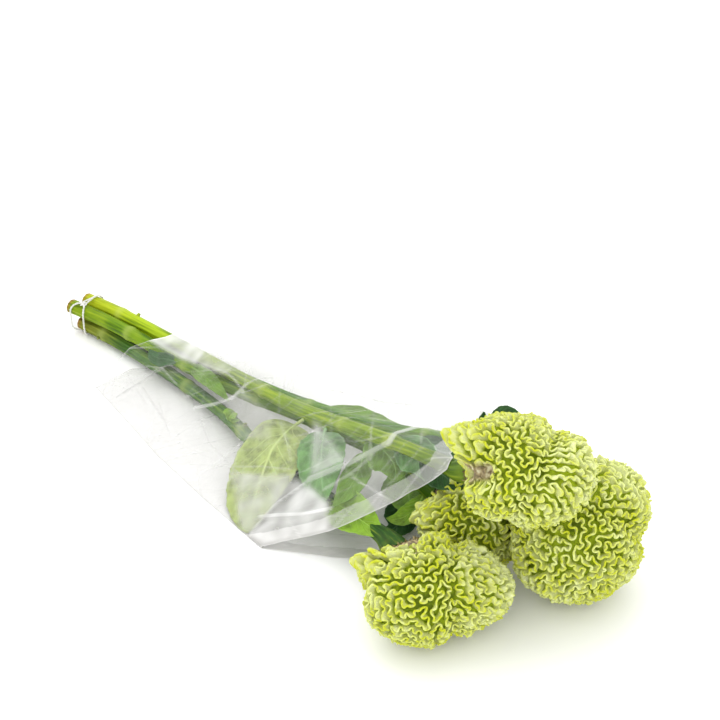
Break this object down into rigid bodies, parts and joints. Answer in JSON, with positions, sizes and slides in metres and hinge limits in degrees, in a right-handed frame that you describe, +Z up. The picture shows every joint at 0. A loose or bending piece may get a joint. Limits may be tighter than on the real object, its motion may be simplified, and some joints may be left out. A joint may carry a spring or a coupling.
{
  "type": "cut cockscomb celosia bunch",
  "caption": "Cut green cockscomb celosia with ruffled comb heads on leafy stems, tied near the cut ends and lying in a clear tapered flower sleeve.",
  "frame": {"origin": "on the surface that the bunch lies on, below the middle of its outline in plan", "axes": "+X along the bunch from the cut ends to the flower heads, +Z up from the surface that it lies on"},
  "size_m": [0.4899, 0.2035, 0.136],
  "materials": {
    "crest": "matte",
    "stem": "satin",
    "film": "gloss",
    "string": "matte"
  },
  "bodies": {
    "root": {"crest_1": "crest", "crest_2": "crest", "crest_3": "crest", "crest_4": "crest", "stem_1": "stem", "stem_2": "stem", "stem_3": "stem", "stem_4": "stem", "sleeve": "film", "tie": "string"}
  },
  "joints": []
}
